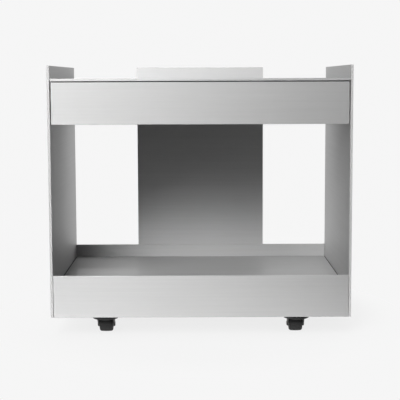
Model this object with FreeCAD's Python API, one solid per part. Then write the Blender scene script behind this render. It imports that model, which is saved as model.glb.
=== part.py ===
import FreeCAD
import Part
import math
import os

# Serving trolley of aluminium plate on four swivel casters, with a full-width drawer under the tabletop.
# Millimetres, +Z up, origin on the floor below the middle, front towards -Y, left towards -X.

V = FreeCAD.Vector
X = V(1, 0, 0)
Y = V(0, 1, 0)
Z = V(0, 0, 1)

# Body plates
WIDTH = 700.0
DEPTH = 450.0
SIDE_HEIGHT = 585.0
PLATE = 6.0
EDGE_BREAK = 0.4
SEAM = 0.5
REVEAL = 2.5
UPSTAND = 30.0
APRON_HEIGHT = 98.0
TRAY_DEPTH = 33.0
TRAY_SHEET = 3.0
BACK_PANEL_WIDTH = 344.0

# Angles that hold the tabletop and the tray floor
ANGLE_LEG = 20.0
ANGLE_SHEET = 3.0
ANGLE_SETBACK = 25.0
REAR_CLEAT_INSET = 22.0
FRONT_CLEAT_SETBACK = 3.0
FRONT_CLEAT_END_GAP = 3.0
LEDGE_GAP = 5.0

# Folded rails under the tray
RAIL_SHEET = 3.0
RAIL_LIP = 18.0
RAIL_TAB_HEIGHT = 40.0
RAIL_RELIEF = 4.0

# Drawer
DRAWER_FRONT_HEIGHT = 96.6
FINGER_GRIP = 16.0
BOX_TOP_CLEARANCE = 3.0
BOX_REAR_SPACE = 38.0
BOX_SHEET = 1.5
BOX_FOLD = 3.0
BOX_HEM = 9.0

# Drawer runners
RUNNER_THICKNESS = 10.0
RUNNER_HEIGHT = 35.0
RUNNER_SHEET = 1.5
RUNNER_SETBACK = 3.0
RUNNER_TRAVEL = 300.0
RUNNER_LIP = 4.0
RUNNER_STOP_CLEARANCE = 0.3
RUNNER_BALL = 3.5
RUNNER_BALL_CLEARANCE = 0.25
RUNNER_BALL_COUNT = 10
CAGE_LENGTH = 220.0
CAGE_SHEET = 0.7
CAGE_CLEARANCE = 0.3

# Casters
CASTER_HEIGHT = 50.0
CASTER_INSET_X = 123.0
CASTER_INSET_Y = 54.0
CASTER_TRAIL = 18.0
CASTER_PLATE = 62.0
CASTER_PLATE_SHEET = 3.0
CASTER_PLATE_CORNER = 6.0
CASTER_BOLT_SPACING = 46.0
WHEEL_DIAMETER = 36.0
WHEEL_WIDTH = 32.0
TYRE_THICKNESS = 6.0
TYRE_CROWN = 0.5
TYRE_ROUND = 5.0
HUB_RECESS = 3.0
HUB_WALL = 2.0
FORK_SHEET = 3.0
FORK_SIDE_CLEARANCE = 1.0
FORK_TOP_CLEARANCE = 1.5
CROWN_RADIUS = 31.0
CROWN_RIM = 1.5
LEG_END_RADIUS = 6.5
SWIVEL_BALL = 5.0
SWIVEL_BALL_COUNT = 12
SWIVEL_PITCH_RADIUS = 17.0
SWIVEL_GROOVE = 0.5
RACE_MARGIN = 5.0
KINGPIN_RADIUS = 5.0
KINGPIN_HEAD_RADIUS = 7.5
KINGPIN_HEAD = 2.0
KINGPIN_HEAD_CLEARANCE = 0.5
AXLE_RADIUS = 3.0
AXLE_HEAD_RADIUS = 5.0
AXLE_HEAD = 1.0
SLEEVE_RADIUS = 4.5
RUNNING_CLEARANCE = 0.05
BALL_SEAT_CLEARANCE = 0.1

# Fasteners: radius of the shank, then head or nut sizes
SCREW_CLEARANCE = 0.15
TAP_SKIN = 1.0
TAP_END_GAP = 0.5
FRAME_SCREW = 2.5
FRAME_SCREW_HEAD = 4.75
FRAME_SCREW_HEAD_HEIGHT = 2.75
SMALL_SCREW = 1.5
SMALL_SCREW_HEAD = 2.8
SMALL_SCREW_HEAD_HEIGHT = 1.6
CASTER_BOLT = 3.0
CASTER_BOLT_HEAD = 5.25
CASTER_BOLT_HEAD_HEIGHT = 3.3
BOLT_PROUD = 2.0
NUT_FLATS = 10.0
NUT_HEIGHT = 5.0
STUD = 2.0
STUD_NUT_FLATS = 7.0
STUD_NUT_HEIGHT = 3.2
COUNTERSINK_RADIUS = 4.8
COUNTERSINK_DEPTH = 2.5
HEX_KEY_SHARE = 0.6

# Levels and planes shared by the pieces
half_width = WIDTH / 2
inner = half_width - PLATE
front = -DEPTH / 2
rear = DEPTH / 2
apron_back = front + PLATE
back_face = rear - PLATE
rear_apron_face = back_face - PLATE
base_z = CASTER_HEIGHT
side_top = base_z + SIDE_HEIGHT
top_z = side_top - UPSTAND
top_under = top_z - PLATE
apron_top = base_z + APRON_HEIGHT
tray_z = apron_top - TRAY_DEPTH
tray_under = tray_z - TRAY_SHEET
tap_depth = PLATE - TAP_SKIN

# Drawer planes
drawer_top = top_under - REVEAL
drawer_bottom = drawer_top - DRAWER_FRONT_HEIGHT
box_bottom = drawer_bottom + FINGER_GRIP
box_top = top_under - ANGLE_LEG - BOX_TOP_CLEARANCE
box_half = inner - RUNNER_THICKNESS
box_rear = back_face - BOX_REAR_SPACE
runner_z = (box_bottom + box_top) / 2
runner_front = apron_back + RUNNER_SETBACK
runner_rear = box_rear

# Caster planes, measured from the floor
rail_half = CASTER_INSET_Y - PLATE
axle_z = WHEEL_DIAMETER / 2
crown_under = WHEEL_DIAMETER + FORK_TOP_CLEARANCE
crown_top = crown_under + FORK_SHEET
race_under = crown_top + SWIVEL_BALL - 2 * SWIVEL_GROOVE
caster_plate_under = base_z - CASTER_PLATE_SHEET
fork_inner = WHEEL_WIDTH / 2 + FORK_SIDE_CLEARANCE
fork_outer = fork_inner + FORK_SHEET
kingpin_x = half_width - CASTER_INSET_X
front_kingpin_y = front + CASTER_INSET_Y
rear_kingpin_y = rear_apron_face - rail_half

CASTERS = {
    "front_left": V(-kingpin_x, front_kingpin_y, 0),
    "front_right": V(kingpin_x, front_kingpin_y, 0),
    "rear_left": V(-kingpin_x, rear_kingpin_y, 0),
    "rear_right": V(kingpin_x, rear_kingpin_y, 0),
}
SIDES = {"left": -1, "right": 1}


# Basic shapes

def block(x0, x1, y0, y1, z0, z1):
    low = V(min(x0, x1), min(y0, y1), min(z0, z1))
    high = V(max(x0, x1), max(y0, y1), max(z0, z1))
    size = high - low
    return Part.makeBox(size.x, size.y, size.z, low)


def plate(x0, x1, y0, y1, z0, z1):
    shape = block(x0, x1, y0, y1, z0, z1)
    return shape.makeChamfer(EDGE_BREAK, shape.Edges)


def placed(shape, point, axis):
    shape = shape.copy()
    shape.Placement = FreeCAD.Placement(point, FreeCAD.Rotation(Z, axis))
    return shape


def moved(shape, offset):
    shape = shape.copy()
    shape.translate(offset)
    return shape


def fused(shapes):
    return shapes[0].fuse(shapes[1:]).removeSplitter()


def hexagon(flats, height):
    radius = flats / math.sqrt(3)
    corners = [V(radius * math.cos(i * math.pi / 3), radius * math.sin(i * math.pi / 3), 0) for i in range(7)]
    return Part.Face(Part.makePolygon(corners)).extrude(Z * height)


def revolved(outline, axis):
    return Part.Face(Part.Wire(outline)).revolve(V(0, 0, 0), axis, 360)


def spread(start, end, count, inset):
    first = start + inset
    step = (end - inset - first) / (count - 1)
    return [first + i * step for i in range(count)]


def rim_edges(shape, z):
    return [e for e in shape.Edges if abs(e.BoundBox.ZMin - z) < 1e-6 and abs(e.BoundBox.ZMax - z) < 1e-6]


# Fasteners, built with the bearing face at z = 0, the head above and the shank below

def button_screw(radius, head_radius, head_height, length):
    head = Part.makeCylinder(head_radius, head_height)
    head = head.makeFillet(0.6 * head_height, rim_edges(head, head_height))
    key = hexagon(2 * radius * HEX_KEY_SHARE, head_height)
    key.translate(Z * 0.5 * head_height)
    shank = Part.makeCylinder(radius, length, V(0, 0, -length))
    return fused([head.cut(key), shank])


def countersunk_screw(length):
    head = Part.makeCone(FRAME_SCREW, COUNTERSINK_RADIUS, COUNTERSINK_DEPTH, V(0, 0, -COUNTERSINK_DEPTH))
    key = hexagon(2 * FRAME_SCREW * HEX_KEY_SHARE, COUNTERSINK_DEPTH)
    key.translate(Z * -0.6 * COUNTERSINK_DEPTH)
    shank = Part.makeCylinder(FRAME_SCREW, length, V(0, 0, -length))
    return fused([head, shank]).cut(key)


def nut(flats, height, bore):
    body = hexagon(flats, height)
    return body.cut(Part.makeCylinder(bore + SCREW_CLEARANCE, height))


def hole(point, axis, radius, depth):
    return Part.makeCylinder(radius + SCREW_CLEARANCE, depth, point, axis)


# Structure: a fixing is the point under a screw head and the direction the head faces

frame_fixings = []
cuts = {}


def drill(node, tool):
    cuts.setdefault(node, []).append(tool)


def frame_fixing(point, facing, sheet, held, holder):
    into = facing * -1
    frame_fixings.append((point, facing, sheet))
    drill(held, hole(point, into, FRAME_SCREW, sheet))
    drill(holder, hole(point + into * sheet, into, FRAME_SCREW, tap_depth))


def frame_screw(point, facing, sheet):
    length = sheet + tap_depth - TAP_END_GAP
    screw = button_screw(FRAME_SCREW, FRAME_SCREW_HEAD, FRAME_SCREW_HEAD_HEIGHT, length)
    return placed(screw, point, facing)


def side_panel(side):
    return plate(side * inner, side * half_width, front, rear, base_z, side_top)


def tabletop():
    return plate(SEAM - inner, inner - SEAM, front, back_face - SEAM, top_under, top_z)


def front_apron():
    return plate(SEAM - inner, inner - SEAM, front, apron_back, base_z, apron_top)


def rear_apron():
    return plate(SEAM - inner, inner - SEAM, rear_apron_face, back_face, base_z, apron_top)


def back_panel():
    return plate(-BACK_PANEL_WIDTH / 2, BACK_PANEL_WIDTH / 2, back_face, rear, base_z, side_top)


def tray_floor():
    half = inner - REVEAL
    return block(-half, half, apron_back + SEAM, rear_apron_face - SEAM, tray_under, tray_z)


def top_cleat(side, name):
    y0 = front + ANGLE_SETBACK
    y1 = back_face - ANGLE_SETBACK
    upright = block(side * inner, side * (inner - ANGLE_SHEET), y0, y1, top_under - ANGLE_LEG, top_under)
    flat = block(side * inner, side * (inner - ANGLE_LEG), y0, y1, top_under - ANGLE_SHEET, top_under)
    middle = (ANGLE_LEG + ANGLE_SHEET) / 2
    for y in spread(y0, y1, 3, ANGLE_LEG):
        at_side = V(side * (inner - ANGLE_SHEET), y, top_under - middle)
        frame_fixing(at_side, X * -side, ANGLE_SHEET, name, "side_panel_" + name.split("_")[-1])
    for y in spread(y0, y1, 2, 4 * ANGLE_LEG):
        at_top = V(side * (inner - middle), y, top_under - ANGLE_SHEET)
        frame_fixing(at_top, Z * -1, ANGLE_SHEET, name, "tabletop")
    return fused([upright, flat])


def rear_cleat():
    half = BACK_PANEL_WIDTH / 2 - REAR_CLEAT_INSET
    upright = block(-half, half, back_face - ANGLE_SHEET, back_face, top_under - ANGLE_LEG, top_under)
    flat = block(-half, half, back_face - ANGLE_LEG, back_face, top_under - ANGLE_SHEET, top_under)
    middle = (ANGLE_LEG + ANGLE_SHEET) / 2
    for x in spread(-half, half, 3, ANGLE_LEG):
        at_back = V(x, back_face - ANGLE_SHEET, top_under - middle)
        frame_fixing(at_back, Y * -1, ANGLE_SHEET, "top_cleat_rear", "back_panel")
    for x in spread(-half, half, 2, 4 * ANGLE_LEG):
        at_top = V(x, back_face - middle, top_under - ANGLE_SHEET)
        frame_fixing(at_top, Z * -1, ANGLE_SHEET, "top_cleat_rear", "tabletop")
    return fused([upright, flat])


def front_cleat():
    half = inner - ANGLE_LEG - FRONT_CLEAT_END_GAP
    face = apron_back + FRONT_CLEAT_SETBACK
    upright = block(-half, half, face, face + ANGLE_SHEET, top_under - ANGLE_LEG, top_under)
    flat = block(-half, half, face, face + ANGLE_LEG, top_under - ANGLE_SHEET, top_under)
    middle = (ANGLE_LEG + ANGLE_SHEET) / 2
    for x in spread(-half, half, 4, 3 * ANGLE_LEG):
        at_top = V(x, face + middle, top_under - ANGLE_SHEET)
        frame_fixing(at_top, Z * -1, ANGLE_SHEET, "top_cleat_front", "tabletop")
    return fused([upright, flat])


def tray_ledge(side, name):
    y0 = apron_back + 2 * rail_half + RAIL_LIP + LEDGE_GAP
    y1 = rear_apron_face - 2 * rail_half - RAIL_LIP - LEDGE_GAP
    upright = block(side * inner, side * (inner - ANGLE_SHEET), y0, y1, tray_under - ANGLE_LEG, tray_under)
    flat = block(side * inner, side * (inner - ANGLE_LEG), y0, y1, tray_under - ANGLE_SHEET, tray_under)
    middle = (ANGLE_LEG + ANGLE_SHEET) / 2
    for y in spread(y0, y1, 3, ANGLE_LEG):
        at_side = V(side * (inner - ANGLE_SHEET), y, tray_under - middle)
        frame_fixing(at_side, X * -side, ANGLE_SHEET, name, "side_panel_" + name.split("_")[-1])
    return fused([upright, flat])


def caster_rail(outward, apron_face, name, apron):
    inner_face = apron_face - outward * 2 * rail_half
    web = block(-inner, inner, apron_face, inner_face, base_z, base_z + RAIL_SHEET)
    at_apron = apron_face - outward * RAIL_SHEET
    at_inner = inner_face + outward * RAIL_SHEET
    end = inner - RAIL_SHEET - RAIL_RELIEF
    apron_flange = block(-end, end, apron_face, at_apron, base_z, tray_under)
    inner_flange = block(-end, end, at_inner, inner_face, base_z, tray_under)
    lip = block(-end, end, inner_face, inner_face - outward * RAIL_LIP, tray_under - RAIL_SHEET, tray_under)
    middle = (apron_face + inner_face) / 2
    tab_half = rail_half - RAIL_SHEET - RAIL_RELIEF
    pieces = [web, apron_flange, inner_flange, lip]
    for label, side in SIDES.items():
        tab_face = side * (inner - RAIL_SHEET)
        tab_top = base_z + RAIL_TAB_HEIGHT
        pieces.append(block(side * inner, tab_face, middle - tab_half, middle + tab_half, base_z, tab_top))
        for y in (middle - tab_half / 2, middle + tab_half / 2):
            at_side = V(tab_face, y, base_z + RAIL_TAB_HEIGHT / 2 + RAIL_SHEET)
            frame_fixing(at_side, X * -side, RAIL_SHEET, name, "side_panel_" + label)
    for x in spread(-end, end, 3, 2 * CASTER_PLATE):
        at = V(x, at_apron, (base_z + tray_under) / 2)
        frame_fixing(at, Y * -outward, RAIL_SHEET, name, apron)
    return fused(pieces)


# Tray studs pass through the rail lips and take nuts underneath

def stud_points():
    lip_y = (apron_back + 2 * rail_half + RAIL_LIP / 2, rear_apron_face - 2 * rail_half - RAIL_LIP / 2)
    return [V(x, y, tray_under) for y in lip_y for x in spread(-inner, inner, 3, CASTER_INSET_X)]


def tray_stud(point):
    length = RAIL_SHEET + STUD_NUT_HEIGHT + BOLT_PROUD
    return Part.makeCylinder(STUD, length, point, Z * -1)


def tray_nut(point):
    return placed(nut(STUD_NUT_FLATS, STUD_NUT_HEIGHT, STUD), point - Z * RAIL_SHEET, Z * -1)


# Back panel screws sit flush in its rear face

def back_screw_points():
    xs = spread(-BACK_PANEL_WIDTH / 2, BACK_PANEL_WIDTH / 2, 2, ANGLE_LEG)
    zs = spread(base_z, apron_top, 2, ANGLE_LEG)
    return [V(x, rear, z) for x in xs for z in zs]


def back_screw(point):
    return placed(countersunk_screw(PLATE + tap_depth - TAP_END_GAP), point, Y)


def back_screw_hole(point):
    sink = Part.makeCone(
        COUNTERSINK_RADIUS + SCREW_CLEARANCE,
        FRAME_SCREW + SCREW_CLEARANCE,
        COUNTERSINK_DEPTH,
        point,
        Y * -1,
    )
    return sink.fuse(hole(point, Y * -1, FRAME_SCREW, PLATE))


# Drawer

def drawer_front():
    return plate(REVEAL - inner, inner - REVEAL, front, apron_back, drawer_bottom, drawer_top)


def folded_block(half, y0, y1, z0, z1, radius):
    shape = block(-half, half, y0, y1, z0, z1)
    top = rim_edges(shape, z1)
    return shape.makeFillet(radius, [e for e in shape.Edges if not any(e.isSame(t) for t in top)])


def drawer_box():
    shell = folded_block(box_half, apron_back, box_rear, box_bottom, box_top, BOX_FOLD)
    inset = BOX_SHEET
    pocket = folded_block(
        box_half - inset,
        apron_back + inset,
        box_rear - inset,
        box_bottom + inset,
        box_top + BOX_FOLD,
        BOX_FOLD - inset,
    )
    hem_pocket = block(
        2 * inset - box_half,
        box_half - 2 * inset,
        apron_back + 2 * inset,
        box_rear - 2 * inset,
        box_top - BOX_HEM,
        box_top,
    )
    hem_zone = block(-box_half, box_half, apron_back, box_rear, box_top - BOX_HEM, box_top)
    hem = shell.common(hem_zone).cut(hem_pocket)
    return fused([shell.cut(pocket), hem])


def drawer_screw_points():
    z = (box_bottom + box_top - BOX_HEM) / 2
    return [V(x, apron_back + BOX_SHEET, z) for x in spread(-box_half, box_half, 4, CASTER_PLATE)]


# Drawer runners: u runs from the side panel towards the drawer, v runs up from the middle of the runner

outer_half = RUNNER_HEIGHT / 2
ball_gap = RUNNER_BALL + 2 * RUNNER_BALL_CLEARANCE
inner_half = outer_half - RUNNER_SHEET - ball_gap
ball_v = inner_half + ball_gap / 2
lip_u = RUNNER_THICKNESS - RUNNER_SHEET - CAGE_CLEARANCE
ball_u = lip_u / 2
cage_front = runner_front + RUNNER_TRAVEL / 2 + RUNNER_SETBACK
inner_rear = runner_rear - RUNNER_SHEET - RUNNER_STOP_CLEARANCE


def runner_block(side, u0, u1, y0, y1, v0, v1):
    return block(side * (inner - u0), side * (inner - u1), y0, y1, runner_z + v0, runner_z + v1)


def runner_outer(side):
    web = runner_block(side, 0, RUNNER_SHEET, runner_front, runner_rear, -outer_half, outer_half)
    stop_v = inner_half / 2
    stop_u = RUNNER_THICKNESS - RUNNER_SHEET / 2
    stop = runner_block(side, 0, stop_u, runner_rear - RUNNER_SHEET, runner_rear, -stop_v, stop_v)
    pieces = [web, stop]
    for up in (-1, 1):
        edge = up * outer_half
        under = up * (outer_half - RUNNER_SHEET)
        lip_end = up * (outer_half - RUNNER_LIP)
        lip_start = lip_u - RUNNER_SHEET
        pieces.append(runner_block(side, 0, lip_u, runner_front, runner_rear, under, edge))
        pieces.append(runner_block(side, lip_start, lip_u, runner_front, runner_rear, lip_end, edge))
    return fused(pieces)


def runner_inner(side):
    web_u = RUNNER_THICKNESS - RUNNER_SHEET
    flange_u = ball_u - RUNNER_BALL / 2
    web = runner_block(side, web_u, RUNNER_THICKNESS, runner_front, inner_rear, -inner_half, inner_half)
    pieces = [web]
    for up in (-1, 1):
        low = up * (inner_half - RUNNER_SHEET)
        high = up * inner_half
        pieces.append(runner_block(side, flange_u, RUNNER_THICKNESS, runner_front, inner_rear, low, high))
    return fused(pieces)


def runner_ball_points(side):
    ys = spread(cage_front, cage_front + CAGE_LENGTH, RUNNER_BALL_COUNT, RUNNER_BALL)
    x = side * (inner - ball_u)
    return [V(x, y, runner_z + up * ball_v) for up in (-1, 1) for y in ys]


def runner_cage(side):
    u0 = RUNNER_SHEET + CAGE_CLEARANCE
    u1 = lip_u - RUNNER_SHEET - CAGE_CLEARANCE
    strips = []
    for up in (-1, 1):
        v0 = up * ball_v - CAGE_SHEET / 2
        strip = runner_block(side, u0, u1, cage_front, cage_front + CAGE_LENGTH, v0, v0 + CAGE_SHEET)
        near = [p for p in runner_ball_points(side) if (p.z - runner_z) * up > 0]
        seats = [Part.makeSphere(RUNNER_BALL / 2 + BALL_SEAT_CLEARANCE, p) for p in near]
        strips.append(strip.cut(seats))
    return Part.makeCompound(strips)


def runner_balls(side):
    return Part.makeCompound([Part.makeSphere(RUNNER_BALL / 2, p) for p in runner_ball_points(side)])


def small_screw(point, facing, sheet, depth):
    length = sheet + depth - TAP_END_GAP
    return placed(button_screw(SMALL_SCREW, SMALL_SCREW_HEAD, SMALL_SCREW_HEAD_HEIGHT, length), point, facing)


def outer_runner_points(side):
    ys = spread(runner_front, runner_rear, 3, CASTER_PLATE)
    return [V(side * (inner - RUNNER_SHEET), y, runner_z) for y in ys]


def inner_runner_points(side):
    ys = spread(runner_front, runner_rear, 3, 2 * CASTER_PLATE)
    return [V(side * (box_half + RUNNER_SHEET), y, runner_z) for y in ys]


# Casters, built about a kingpin on the Z axis with the wheel trailing towards +Y

axle_point = V(0, CASTER_TRAIL, axle_z)


def caster_plate():
    half = CASTER_PLATE / 2
    body = block(-half, half, -half, half, caster_plate_under, base_z)
    upright = [e for e in body.Edges if e.BoundBox.ZLength > CASTER_PLATE_SHEET / 2]
    body = body.makeFillet(CASTER_PLATE_CORNER, upright)
    boss_radius = SWIVEL_PITCH_RADIUS + RACE_MARGIN
    boss = Part.makeCylinder(boss_radius, caster_plate_under - race_under, V(0, 0, race_under))
    groove = Part.makeTorus(SWIVEL_PITCH_RADIUS, SWIVEL_BALL / 2 + BALL_SEAT_CLEARANCE, swivel_ball_centre())
    bore = Part.makeCylinder(KINGPIN_RADIUS + RUNNING_CLEARANCE, base_z)
    holes = [hole(p, Z * -1, CASTER_BOLT, CASTER_PLATE_SHEET) for p in caster_bolt_points()]
    return fused([body, boss]).cut([groove, bore] + holes)


def caster_bolt_points():
    half = CASTER_BOLT_SPACING / 2
    return [V(x, y, base_z) for x in (-half, half) for y in (-half, half)]


def swivel_ball_centre():
    return V(0, 0, (crown_top + race_under) / 2)


def swivel_balls():
    centre = swivel_ball_centre()
    turns = [2 * math.pi * i / SWIVEL_BALL_COUNT for i in range(SWIVEL_BALL_COUNT)]
    spokes = [V(math.cos(a), math.sin(a), 0) * SWIVEL_PITCH_RADIUS for a in turns]
    return [Part.makeSphere(SWIVEL_BALL / 2, centre + s) for s in spokes]


def kingpin():
    low = crown_under - KINGPIN_HEAD_CLEARANCE
    shank = Part.makeCylinder(KINGPIN_RADIUS, base_z - low, V(0, 0, low))
    top_head = Part.makeCylinder(KINGPIN_HEAD_RADIUS, KINGPIN_HEAD, V(0, 0, base_z))
    low_head = Part.makeCylinder(KINGPIN_HEAD_RADIUS, KINGPIN_HEAD, V(0, 0, low - KINGPIN_HEAD))
    return fused([shank, top_head, low_head])


def tangent_point(point, centre, radius, turn):
    away = point - centre
    angle = math.atan2(away.z, away.y) + turn * math.acos(radius / away.Length)
    return centre + V(0, math.cos(angle), math.sin(angle)) * radius


def fork_leg(side):
    x = side * fork_inner
    centre = V(x, axle_point.y, axle_point.z)
    reach = math.sqrt(CROWN_RADIUS ** 2 - fork_outer ** 2)
    lead = V(x, -reach / 2, crown_top)
    trail = V(x, reach, crown_top)
    lead_tangent = tangent_point(lead, centre, LEG_END_RADIUS, 1)
    trail_tangent = tangent_point(trail, centre, LEG_END_RADIUS, -1)
    bottom = centre - Z * LEG_END_RADIUS
    outline = [
        Part.makeLine(lead, lead_tangent),
        Part.Arc(lead_tangent, bottom, trail_tangent).toShape(),
        Part.makeLine(trail_tangent, trail),
        Part.makeLine(trail, lead),
    ]
    return Part.Face(Part.Wire(outline)).extrude(X * side * FORK_SHEET)


def fork():
    crown = Part.makeCylinder(CROWN_RADIUS, FORK_SHEET, V(0, 0, crown_under))
    rim_height = FORK_SHEET + CROWN_RIM
    rim = Part.makeCylinder(CROWN_RADIUS, rim_height, V(0, 0, crown_under))
    rim = rim.cut(Part.makeCylinder(CROWN_RADIUS - FORK_SHEET, rim_height, V(0, 0, crown_under)))
    dish = fused([crown, rim])
    dish = dish.makeFillet(FORK_SHEET / 2, rim_edges(dish, crown_under))
    body = fused([dish, fork_leg(-1), fork_leg(1)])
    groove = Part.makeTorus(SWIVEL_PITCH_RADIUS, SWIVEL_BALL / 2 + BALL_SEAT_CLEARANCE, swivel_ball_centre())
    bore = Part.makeCylinder(KINGPIN_RADIUS + RUNNING_CLEARANCE, base_z)
    axle_hole = Part.makeCylinder(AXLE_RADIUS + RUNNING_CLEARANCE, WIDTH, axle_point - X * WIDTH / 2, X)
    return body.cut([groove, bore, axle_hole])


def axle():
    head = Part.makeCylinder(AXLE_HEAD_RADIUS, AXLE_HEAD)
    head = head.makeFillet(0.6 * AXLE_HEAD, rim_edges(head, AXLE_HEAD))
    shank = Part.makeCylinder(AXLE_RADIUS, 2 * fork_outer, axle_point - X * fork_outer, X)
    ends = [placed(head, axle_point + X * side * fork_outer, X * side) for side in (-1, 1)]
    return fused([shank] + ends)


def sleeve():
    start = axle_point - X * fork_inner
    tube = Part.makeCylinder(SLEEVE_RADIUS, 2 * fork_inner, start, X)
    return tube.cut(Part.makeCylinder(AXLE_RADIUS + RUNNING_CLEARANCE, 2 * fork_inner, start, X))


def hub():
    half = WHEEL_WIDTH / 2
    radius = axle_z - TYRE_THICKNESS
    bore = SLEEVE_RADIUS + RUNNING_CLEARANCE
    start = axle_point - X * half
    body = Part.makeCylinder(radius, WHEEL_WIDTH, start, X)
    cut_tools = [Part.makeCylinder(bore, WHEEL_WIDTH, start, X)]
    for side in (-1, 1):
        face = axle_point + X * side * half
        ring = Part.makeCylinder(radius - HUB_WALL, HUB_RECESS, face, X * -side)
        cut_tools.append(ring.cut(Part.makeCylinder(bore + HUB_WALL, HUB_RECESS, face, X * -side)))
    return body.cut(cut_tools)


def tyre():
    half = WHEEL_WIDTH / 2
    bore = axle_z - TYRE_THICKNESS
    shoulder = axle_z - TYRE_CROWN
    flat = half - TYRE_ROUND
    bend = TYRE_ROUND * math.sqrt(0.5)
    side_top_r = shoulder - TYRE_ROUND

    def corner(x, r):
        return V(x, 0, r)

    outline = [Part.makeLine(corner(-half, bore), corner(half, bore))]
    outline.append(Part.makeLine(corner(half, bore), corner(half, side_top_r)))
    right_bend = corner(flat + bend, side_top_r + bend)
    outline.append(Part.Arc(corner(half, side_top_r), right_bend, corner(flat, shoulder)).toShape())
    outline.append(Part.Arc(corner(flat, shoulder), corner(0, axle_z), corner(-flat, shoulder)).toShape())
    left_bend = corner(-flat - bend, side_top_r + bend)
    outline.append(Part.Arc(corner(-flat, shoulder), left_bend, corner(-half, side_top_r)).toShape())
    outline.append(Part.makeLine(corner(-half, side_top_r), corner(-half, bore)))
    ring = revolved(outline, X)
    ring.translate(axle_point)
    return ring


def caster_bolt(point):
    length = CASTER_PLATE_SHEET + RAIL_SHEET + NUT_HEIGHT + BOLT_PROUD
    bolt = button_screw(CASTER_BOLT, CASTER_BOLT_HEAD, CASTER_BOLT_HEAD_HEIGHT, length)
    return placed(bolt, point - Z * CASTER_PLATE_SHEET, Z * -1)


def caster_nut(point):
    return placed(nut(NUT_FLATS, NUT_HEIGHT, CASTER_BOLT), point + Z * RAIL_SHEET, Z)


# Build every node; the fixings met on the way collect the holes to drill

nodes = {
    "tabletop": tabletop(),
    "front_apron": front_apron(),
    "rear_apron": rear_apron(),
    "back_panel": back_panel(),
    "tray_floor": tray_floor(),
    "top_cleat_rear": rear_cleat(),
    "top_cleat_front": front_cleat(),
    "caster_rail_front": caster_rail(-1, apron_back, "caster_rail_front", "front_apron"),
    "caster_rail_rear": caster_rail(1, rear_apron_face, "caster_rail_rear", "rear_apron"),
    "drawer_front": drawer_front(),
    "drawer_box": drawer_box(),
}

outer_runner_screws = []
inner_runner_screws = []
for label, side in SIDES.items():
    nodes["side_panel_" + label] = side_panel(side)
    nodes["top_cleat_" + label] = top_cleat(side, "top_cleat_" + label)
    nodes["tray_ledge_" + label] = tray_ledge(side, "tray_ledge_" + label)
    nodes["runner_outer_" + label] = runner_outer(side)
    nodes["runner_inner_" + label] = runner_inner(side)
    nodes["runner_cage_" + label] = runner_cage(side)
    nodes["runner_balls_" + label] = runner_balls(side)
    for point in outer_runner_points(side):
        into = X * side
        outer_runner_screws.append(small_screw(point, X * -side, RUNNER_SHEET, tap_depth))
        drill("runner_outer_" + label, hole(point, into, SMALL_SCREW, RUNNER_SHEET))
        drill("side_panel_" + label, hole(point + into * RUNNER_SHEET, into, SMALL_SCREW, tap_depth))
    for point in inner_runner_points(side):
        into = X * -side
        inner_runner_screws.append(small_screw(point, X * side, RUNNER_SHEET, BOX_SHEET + TAP_END_GAP))
        drill("runner_inner_" + label, hole(point, into, SMALL_SCREW, RUNNER_SHEET))
        drill("drawer_box", hole(point + into * RUNNER_SHEET, into, SMALL_SCREW, BOX_SHEET))

nodes["runner_screws"] = Part.makeCompound(outer_runner_screws)
nodes["box_runner_screws"] = Part.makeCompound(inner_runner_screws)

drawer_screws = []
for point in drawer_screw_points():
    drawer_screws.append(small_screw(point, Y, BOX_SHEET, tap_depth))
    drill("drawer_box", hole(point, Y * -1, SMALL_SCREW, BOX_SHEET))
    drill("drawer_front", hole(point - Y * BOX_SHEET, Y * -1, SMALL_SCREW, tap_depth))
nodes["drawer_front_screws"] = Part.makeCompound(drawer_screws)

for point in stud_points():
    rail = "caster_rail_front" if point.y < 0 else "caster_rail_rear"
    drill(rail, hole(point, Z * -1, STUD, RAIL_SHEET))
nodes["tray_studs"] = Part.makeCompound([tray_stud(p) for p in stud_points()])
nodes["tray_nuts"] = Part.makeCompound([tray_nut(p) for p in stud_points()])

for point in back_screw_points():
    drill("back_panel", back_screw_hole(point))
    drill("rear_apron", hole(point - Y * PLATE, Y * -1, FRAME_SCREW, tap_depth))
nodes["back_panel_screws"] = Part.makeCompound([back_screw(p) for p in back_screw_points()])

bolts = []
nuts = []
kingpins = []
balls = []
for place, offset in CASTERS.items():
    rail = "caster_rail_front" if offset.y < 0 else "caster_rail_rear"
    nodes["caster_plate_" + place] = moved(caster_plate(), offset)
    nodes["caster_fork_" + place] = moved(fork(), offset)
    nodes["caster_axle_" + place] = moved(axle(), offset)
    nodes["caster_sleeve_" + place] = moved(sleeve(), offset)
    nodes["wheel_hub_" + place] = moved(hub(), offset)
    nodes["wheel_tyre_" + place] = moved(tyre(), offset)
    kingpins.append(moved(kingpin(), offset))
    balls.extend(moved(ball, offset) for ball in swivel_balls())
    head_room = KINGPIN_HEAD_RADIUS + KINGPIN_HEAD_CLEARANCE
    drill(rail, Part.makeCylinder(head_room, RAIL_SHEET, offset + Z * base_z))
    for point in caster_bolt_points():
        bolts.append(moved(caster_bolt(point), offset))
        nuts.append(moved(caster_nut(point), offset))
        drill(rail, hole(point + offset, Z, CASTER_BOLT, RAIL_SHEET))
nodes["caster_kingpins"] = Part.makeCompound(kingpins)
nodes["caster_swivel_balls"] = Part.makeCompound(balls)
nodes["caster_bolts"] = Part.makeCompound(bolts)
nodes["caster_nuts"] = Part.makeCompound(nuts)
nodes["frame_screws"] = Part.makeCompound([frame_screw(*fixing) for fixing in frame_fixings])

for name, tools in cuts.items():
    nodes[name] = nodes[name].cut(tools)

os.makedirs("parts", exist_ok=True)
for name, shape in nodes.items():
    shape.exportStep("parts/" + name + ".step")
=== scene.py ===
import math

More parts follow.
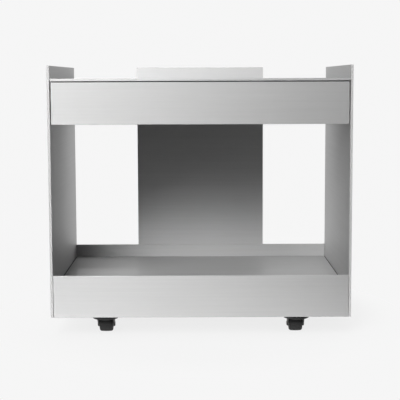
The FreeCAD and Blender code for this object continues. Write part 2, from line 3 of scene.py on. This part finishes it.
import bpy
from mathutils import Euler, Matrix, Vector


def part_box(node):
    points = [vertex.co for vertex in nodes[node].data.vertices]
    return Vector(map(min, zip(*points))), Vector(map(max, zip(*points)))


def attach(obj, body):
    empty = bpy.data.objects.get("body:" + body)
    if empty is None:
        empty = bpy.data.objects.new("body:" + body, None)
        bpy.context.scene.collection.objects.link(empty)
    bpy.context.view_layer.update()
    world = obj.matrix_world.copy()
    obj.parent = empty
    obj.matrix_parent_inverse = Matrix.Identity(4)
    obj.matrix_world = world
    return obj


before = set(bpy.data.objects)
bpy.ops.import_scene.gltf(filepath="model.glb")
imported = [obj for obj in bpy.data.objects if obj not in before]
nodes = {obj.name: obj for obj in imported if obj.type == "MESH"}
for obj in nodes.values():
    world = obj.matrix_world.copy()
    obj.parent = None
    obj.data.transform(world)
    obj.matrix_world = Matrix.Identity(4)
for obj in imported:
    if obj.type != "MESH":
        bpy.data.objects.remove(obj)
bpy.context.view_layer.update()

# Serving trolley: finishes for every node, near-black edging in the tray's gaps as painted shade, a pale
# studio and a front camera

# Camera: straight at the front from tabletop height, tilted a little down
CAMERA_PLACE = (-0.0009, -2.4807, 0.6030)
CAMERA_PITCH = math.radians(5.385)
CAMERA_ROLL = math.radians(-0.21)
CAMERA_SENSOR = 36.0
CAMERA_LENS = 88.635
CAMERA_SHIFT = -0.07

# Floor: a white disc, and the share of the object's shadow that it keeps within a distance of its middle
FLOOR_RADIUS = 0.55
FLOOR_VERTICES = 96
FLOOR_ALBEDO = 0.7
SHADOW_SHARE = 0.12
SHADOW_REACH = (0.38, 0.53)

# Studio: linear light levels, limits of the lights in a unit direction, and the key's fall to the left
BACKGROUND = 0.92
WHITE_DEPTHS = (-0.4, 0.1)
FILL_LEVELS = (0.043, 0.125)
FILL_SPAN = (0.0, 0.5)
KEY_LEVEL = 20.5
KEY_RIGHT = (0.065, -0.096)
KEY_LEFT = (-0.525, -0.735)
KEY_LEAN = 0.663
KEY_BOTTOM = (0.558, 0.628)
KEY_TOP = (0.639, 1.069)
KEY_REAR = (-0.3, -0.1)

# Noise: the span of values that counts, and the bump's height in metres
NOISE_SPAN = (0.3, 0.7)
BUMP_HEIGHT = 0.0002

# Worn and cut edges: rounding in metres, cosines from flat to edge, and the grain's direction on cut ends
WEAR_RADIUS = 0.0012
WEAR_SAMPLES = 4
WEAR_FACING = (0.98, 0.8)
CUT_FACING = (0.9, 0.5)
CUT_TANGENT = (-0.0016, 0.001, 0.005)

# Brushed plate: noise as scale per metre and detail, its stretch along the grain, and what it changes
GRAIN_NOISE = (1400.0, 3.0)
STREAK_NOISE = (240.0, 4.0)
CLOUD_NOISE = (7.0, 3.0)
GRAIN_STRETCH = 0.012
STREAK_SWING = 0.02
GRAIN_SWING = 0.03
CLOUD_SWING = 0.015
BRUSHED_ROUGHNESS = 0.556
BRUSHED_WEAR = 0.08
BRUSHED_BUMP = 0.06
COAT_ROUGHNESS = 0.08

# Brushed finishes: axes of the grain and of the flat faces, tone, sheen at a flat angle, pull of the grain
BRUSHED = {
    "plate_upright": {"axis": "X", "flat": "Y", "tone": 0.533, "sheen": 0.42, "pull": 0.67},
    "plate_side": {"axis": "Y", "flat": "X", "tone": 0.56, "sheen": 0.616, "pull": 0.464,
                   "cut_tone": -0.04, "cut_roughness": 0.06},
    "plate_top": {"axis": "X", "flat": "Z", "tone": 0.495, "sheen": 0.19, "pull": 0.67, "coat": 0.195,
                  "cut_tone": 0.075},
    # The tray floor: the top's finish with a lower tone, painted shade for the tray under the tabletop
    "plate_tray_shaded": {"axis": "X", "flat": "Z", "tone": 0.4, "sheen": 0.19, "pull": 0.67, "coat": 0.195,
                   "cut_tone": 0.075},
}

# Plain finishes: the scale of their mottling is per metre
MOTTLE_DETAIL = 4.0
MOTTLE_SWING = 0.12
GRIT_SWING = 0.06
PLAIN_BUMP = 0.15
PLAIN = {
    "folded_sheet": {"tone": 0.5, "metallic": 1.0, "roughness": 0.42, "scale": 420.0, "wear": 0.05},
    # The angles: near-black as painted shade, so the reveal above the drawer front and the gaps beside the
    # tray read dark
    "angle_black": {"tone": 0.05, "metallic": 0.3, "roughness": 0.5, "scale": 200.0, "wear": 0.03},
    "runner_zinc": {"tone": 0.55, "metallic": 1.0, "roughness": 0.38, "scale": 240.0, "wear": 0.05},
    "bright_steel": {"tone": 0.6, "metallic": 1.0, "roughness": 0.3, "scale": 300.0, "wear": 0.05},
    # The casters' metal: near-black with little specular, partly their dark finish and partly painted
    # shade for the dish under the apron
    "caster_black": {"tone": 0.04, "roughness": 0.42, "scale": 320.0, "wear": 0.06, "specular": 0.3},
    "tyre_rubber": {"tone": 0.025, "roughness": 0.62, "scale": 900.0, "wear": 0.01, "specular": 0.3},
    # The edging: near-black, rough and without specular, painted shade for the gaps beside the tray floor
    "edging_painted_shade": {"tone": 0.012, "roughness": 0.9, "scale": 900.0, "specular": 0.0},
    "hub_plastic": {"tone": 0.05, "roughness": 0.5, "scale": 700.0, "wear": 0.01},
}

# Edging in the gaps at the ends of the tray floor, a near-black strip of painted shade: lengths in metres,
# and steps of its round top
SHADE_EDGING_CLEARANCE = 0.0001
SHADE_EDGING_DROP = 0.0003
SHADE_EDGING_STEPS = 8

AXES = {"X": (1, 0, 0), "Y": (0, 1, 0), "Z": (0, 0, 1)}


# Helpers for node trees

def material(name):
    made = bpy.data.materials.new(name)
    made.use_nodes = True
    tree = made.node_tree
    return made, tree, tree.nodes["Principled BSDF"]


def add(tree, kind, **settings):
    node = tree.nodes.new("ShaderNode" + kind)
    for key, value in settings.items():
        setattr(node, key, value)
    return node


def link(tree, source, target):
    tree.links.new(source, target)


def calculate(tree, operation, *values):
    node = add(tree, "Math", operation=operation)
    for socket, value in zip(node.inputs, values):
        if isinstance(value, float):
            socket.default_value = value
        else:
            link(tree, value, socket)
    return node.outputs["Value"]


def ramp(tree, value, start, end, low, high, interpolation="LINEAR"):
    fit = add(tree, "MapRange", interpolation_type=interpolation)
    for name, number in (("From Min", start), ("From Max", end), ("To Min", low), ("To Max", high)):
        fit.inputs[name].default_value = number
    link(tree, value, fit.inputs["Value"])
    return fit.outputs["Result"]


def vary(tree, field, middle, swing):
    return ramp(tree, field, *NOISE_SPAN, middle - swing, middle + swing)


def noise(tree, coordinates, stretch, scale, detail):
    spread = add(tree, "Mapping")
    spread.inputs["Scale"].default_value = stretch
    link(tree, coordinates, spread.inputs["Vector"])
    field = add(tree, "TexNoise")
    field.inputs["Scale"].default_value = scale
    field.inputs["Detail"].default_value = detail
    link(tree, spread.outputs["Vector"], field.inputs["Vector"])
    return field.outputs["Fac"]


def seen_by(tree, *kinds):
    path = add(tree, "LightPath")
    seen = path.outputs[kinds[0]]
    for kind in kinds[1:]:
        seen = calculate(tree, "MAXIMUM", seen, path.outputs[kind])
    return seen


# Surface detail: grey tone, roughness and bump, worn corners, cut edges and the direction of the grain

def paint(tree, shader, tone, roughness, height, strength):
    colour = add(tree, "CombineColor")
    for channel in ("Red", "Green", "Blue"):
        link(tree, tone, colour.inputs[channel])
    link(tree, colour.outputs["Color"], shader.inputs["Base Color"])
    link(tree, roughness, shader.inputs["Roughness"])
    bump = add(tree, "Bump")
    bump.inputs["Strength"].default_value = strength
    bump.inputs["Distance"].default_value = BUMP_HEIGHT
    link(tree, height, bump.inputs["Height"])
    link(tree, bump.outputs["Normal"], shader.inputs["Normal"])


def edge_wear(tree):
    rounded = add(tree, "Bevel", samples=WEAR_SAMPLES)
    rounded.inputs["Radius"].default_value = WEAR_RADIUS
    facing = add(tree, "VectorMath", operation="DOT_PRODUCT")
    link(tree, rounded.outputs["Normal"], facing.inputs[0])
    link(tree, add(tree, "NewGeometry").outputs["True Normal"], facing.inputs[1])
    return ramp(tree, facing.outputs["Value"], *WEAR_FACING, 0.0, 1.0)


def cut_edge(tree, flat):
    facing = add(tree, "VectorMath", operation="DOT_PRODUCT")
    facing.inputs[1].default_value = AXES[flat]
    link(tree, add(tree, "NewGeometry").outputs["True Normal"], facing.inputs[0])
    return ramp(tree, calculate(tree, "ABSOLUTE", facing.outputs["Value"]), *CUT_FACING, 0.0, 1.0)


def grain_tangent(tree, shader, axis):
    across = add(tree, "VectorMath", operation="CROSS_PRODUCT")
    across.inputs[1].default_value = AXES[axis]
    link(tree, add(tree, "NewGeometry").outputs["Normal"], across.inputs[0])
    settled = add(tree, "VectorMath", operation="ADD")
    settled.inputs[1].default_value = CUT_TANGENT
    link(tree, across.outputs["Vector"], settled.inputs[0])
    link(tree, settled.outputs["Vector"], shader.inputs["Tangent"])


# Materials

def brushed(name, axis, flat, tone, sheen, pull, coat=0.0, cut_tone=0.0, cut_roughness=0.0):
    made, tree, shader = material(name)
    shader.inputs["Metallic"].default_value = 1.0
    shader.inputs["Anisotropic"].default_value = pull
    shader.inputs["Specular Tint"].default_value = (sheen, sheen, sheen, 1)
    shader.inputs["Coat Weight"].default_value = coat
    shader.inputs["Coat Roughness"].default_value = COAT_ROUGHNESS
    place = add(tree, "TexCoord").outputs["Object"]
    stretch = [GRAIN_STRETCH if axis == letter else 1.0 for letter in AXES]
    grain = noise(tree, place, stretch, *GRAIN_NOISE)
    streaks = noise(tree, place, stretch, *STREAK_NOISE)
    cloud = noise(tree, place, (1, 1, 1), *CLOUD_NOISE)
    cut = cut_edge(tree, flat)
    shade = vary(tree, streaks, tone, STREAK_SWING * tone)
    shade = calculate(tree, "MULTIPLY_ADD", cut, cut_tone, shade)
    shade = calculate(tree, "MULTIPLY_ADD", edge_wear(tree), BRUSHED_WEAR, shade)
    grit = vary(tree, grain, BRUSHED_ROUGHNESS, GRAIN_SWING)
    grit = calculate(tree, "ADD", grit, vary(tree, cloud, 0.0, CLOUD_SWING))
    grit = calculate(tree, "MULTIPLY_ADD", cut, cut_roughness, grit)
    paint(tree, shader, shade, grit, grain, BRUSHED_BUMP)
    grain_tangent(tree, shader, axis)
    return made


def plain(name, tone, roughness, scale, metallic=0.0, wear=0.0, specular=0.5):
    made, tree, shader = material(name)
    shader.inputs["Metallic"].default_value = metallic
    shader.inputs["Specular IOR Level"].default_value = specular
    place = add(tree, "TexCoord").outputs["Object"]
    mottle = noise(tree, place, (1, 1, 1), scale, MOTTLE_DETAIL)
    shade = vary(tree, mottle, tone, MOTTLE_SWING * tone)
    shade = calculate(tree, "MULTIPLY_ADD", edge_wear(tree), wear, shade)
    grit = vary(tree, mottle, roughness, GRIT_SWING)
    paint(tree, shader, shade, grit, mottle, PLAIN_BUMP)
    return made


finishes = {name: brushed(name, **values) for name, values in BRUSHED.items()}
finishes.update({name: plain(name, **values) for name, values in PLAIN.items()})


# Each node's finish: bright steel for all of them first, then the others by name or by how a name starts

def dress(finish, *names):
    for name in names:
        for slot in nodes[name].material_slots:
            slot.material = finishes[finish]


def starting(*beginnings):
    return [name for name in nodes if name.startswith(beginnings)]


dress("bright_steel", *nodes)
dress("plate_upright", "front_apron", "rear_apron", "drawer_front", "back_panel")
dress("plate_side", "side_panel_left", "side_panel_right")
dress("plate_top", "tabletop")
# The tray floor gets the darker copy of the top's finish as painted shade
dress("plate_tray_shaded", "tray_floor")
dress("folded_sheet", "caster_rail_front", "caster_rail_rear", "drawer_box")
# Cleats and ledges are near-black as painted shade for the reveal and the tray gaps
dress("angle_black", *starting("top_cleat", "tray_ledge"))
dress("runner_zinc", *starting("runner_outer", "runner_inner"))
# The casters' metal is near-black, partly dark finish and partly painted shade under the apron
dress("caster_black", *starting("caster_fork", "caster_plate", "caster_axle"))
dress("tyre_rubber", *starting("wheel_tyre"))
dress("hub_plastic", *starting("wheel_hub", "runner_cage"))


# Edging: a near-black bead with a round top, pressed between the tray floor and a side panel as painted
# shade in the gap

def make_shade_edging(name, left, right):
    low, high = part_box("tray_floor")
    middle = (left + right) / 2
    radius = (right - left) / 2 - SHADE_EDGING_CLEARANCE
    crown = high[2] - SHADE_EDGING_DROP - radius
    base = low[2] + SHADE_EDGING_CLEARANCE
    angles = [math.pi * step / SHADE_EDGING_STEPS for step in range(SHADE_EDGING_STEPS + 1)]
    outline = [(middle + radius * math.cos(angle), crown + radius * math.sin(angle)) for angle in angles]
    outline += [(middle - radius, base), (middle + radius, base)]
    count = len(outline)
    corners = [(x, y, z) for y in (low[1], high[1]) for x, z in outline]
    faces = [(i, count + i, count + (i + 1) % count, (i + 1) % count) for i in range(count)]
    faces += [tuple(range(count)), tuple(reversed(range(count, 2 * count)))]
    mesh = bpy.data.meshes.new(name)
    mesh.from_pydata(corners, [], faces)
    mesh.materials.append(finishes["edging_painted_shade"])
    piece = bpy.data.objects.new(name, mesh)
    bpy.context.scene.collection.objects.link(piece)
    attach(piece, "frame")


tray_low, tray_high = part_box("tray_floor")
make_shade_edging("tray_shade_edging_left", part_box("side_panel_left")[1][0], tray_low[0])
make_shade_edging("tray_shade_edging_right", tray_high[0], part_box("side_panel_right")[0][0])


# Floor: white to the camera, in reflections and through glass, with a share of the shadow near the object

def make_floor():
    bpy.ops.mesh.primitive_circle_add(vertices=FLOOR_VERTICES, radius=FLOOR_RADIUS, fill_type="NGON")
    floor = bpy.context.active_object
    floor.name = "studio_floor"
    made, tree, shader = material("floor_white")
    shader.inputs["Base Color"].default_value = (FLOOR_ALBEDO, FLOOR_ALBEDO, FLOOR_ALBEDO, 1)
    shader.inputs["Roughness"].default_value = 1.0
    shader.inputs["Specular IOR Level"].default_value = 0.0
    glow = add(tree, "Emission")
    glow.inputs["Color"].default_value = (BACKGROUND, BACKGROUND, BACKGROUND, 1)
    seen = seen_by(tree, "Is Camera Ray", "Is Glossy Ray", "Is Transmission Ray")
    reach = add(tree, "VectorMath", operation="LENGTH")
    link(tree, add(tree, "TexCoord").outputs["Object"], reach.inputs[0])
    lit = ramp(tree, reach.outputs["Value"], *SHADOW_REACH, 1.0 - SHADOW_SHARE, 1.0, "SMOOTHSTEP")
    both = add(tree, "MixShader")
    link(tree, calculate(tree, "MULTIPLY", seen, lit), both.inputs["Fac"])
    link(tree, shader.outputs["BSDF"], both.inputs[1])
    link(tree, glow.outputs["Emission"], both.inputs[2])
    link(tree, both.outputs["Shader"], tree.nodes["Material Output"].inputs["Surface"])
    floor.data.materials.append(made)


# World: white behind the object, and before it a dim studio with a high soft key light on the left

def make_world():
    world = bpy.data.worlds.new("studio")
    bpy.context.scene.world = world
    world.use_nodes = True
    tree = world.node_tree
    direction = add(tree, "SeparateXYZ")
    link(tree, add(tree, "TexCoord").outputs["Generated"], direction.inputs["Vector"])
    across = direction.outputs["X"]
    depth = direction.outputs["Y"]
    height = calculate(tree, "MULTIPLY_ADD", across, -KEY_LEAN, direction.outputs["Z"])
    key = ramp(tree, across, *KEY_LEFT, KEY_LEVEL, 0.0, "SMOOTHSTEP")
    limits = (
        (across, KEY_RIGHT, (0.0, 1.0)),
        (height, KEY_BOTTOM, (0.0, 1.0)),
        (height, KEY_TOP, (1.0, 0.0)),
        (depth, KEY_REAR, (1.0, 0.0)),
    )
    for value, span, shares in limits:
        key = calculate(tree, "MULTIPLY", key, ramp(tree, value, *span, *shares, "SMOOTHSTEP"))
    studio = calculate(tree, "ADD", key, ramp(tree, across, *FILL_SPAN, *FILL_LEVELS))
    white = ramp(tree, depth, *WHITE_DEPTHS, 0.0, 1.0, "SMOOTHSTEP")
    white = calculate(tree, "MAXIMUM", white, seen_by(tree, "Is Camera Ray", "Is Transmission Ray"))
    level = add(tree, "Mix")
    link(tree, white, level.inputs["Factor"])
    link(tree, studio, level.inputs["A"])
    level.inputs["B"].default_value = BACKGROUND
    background = tree.nodes["Background"]
    background.inputs["Color"].default_value = (1, 1, 1, 1)
    link(tree, level.outputs["Result"], background.inputs["Strength"])


def make_camera():
    data = bpy.data.cameras.new("front_camera")
    data.sensor_width = CAMERA_SENSOR
    data.lens = CAMERA_LENS
    data.shift_y = CAMERA_SHIFT
    camera = bpy.data.objects.new("front_camera", data)
    camera.location = CAMERA_PLACE
    tilt = Euler((math.pi / 2 - CAMERA_PITCH, 0, 0)).to_matrix()
    roll = Euler((0, 0, CAMERA_ROLL)).to_matrix()
    camera.rotation_euler = (tilt @ roll).to_euler()
    bpy.context.scene.collection.objects.link(camera)
    bpy.context.scene.camera = camera


make_floor()
make_world()
make_camera()
bpy.context.scene.view_settings.view_transform = "Standard"
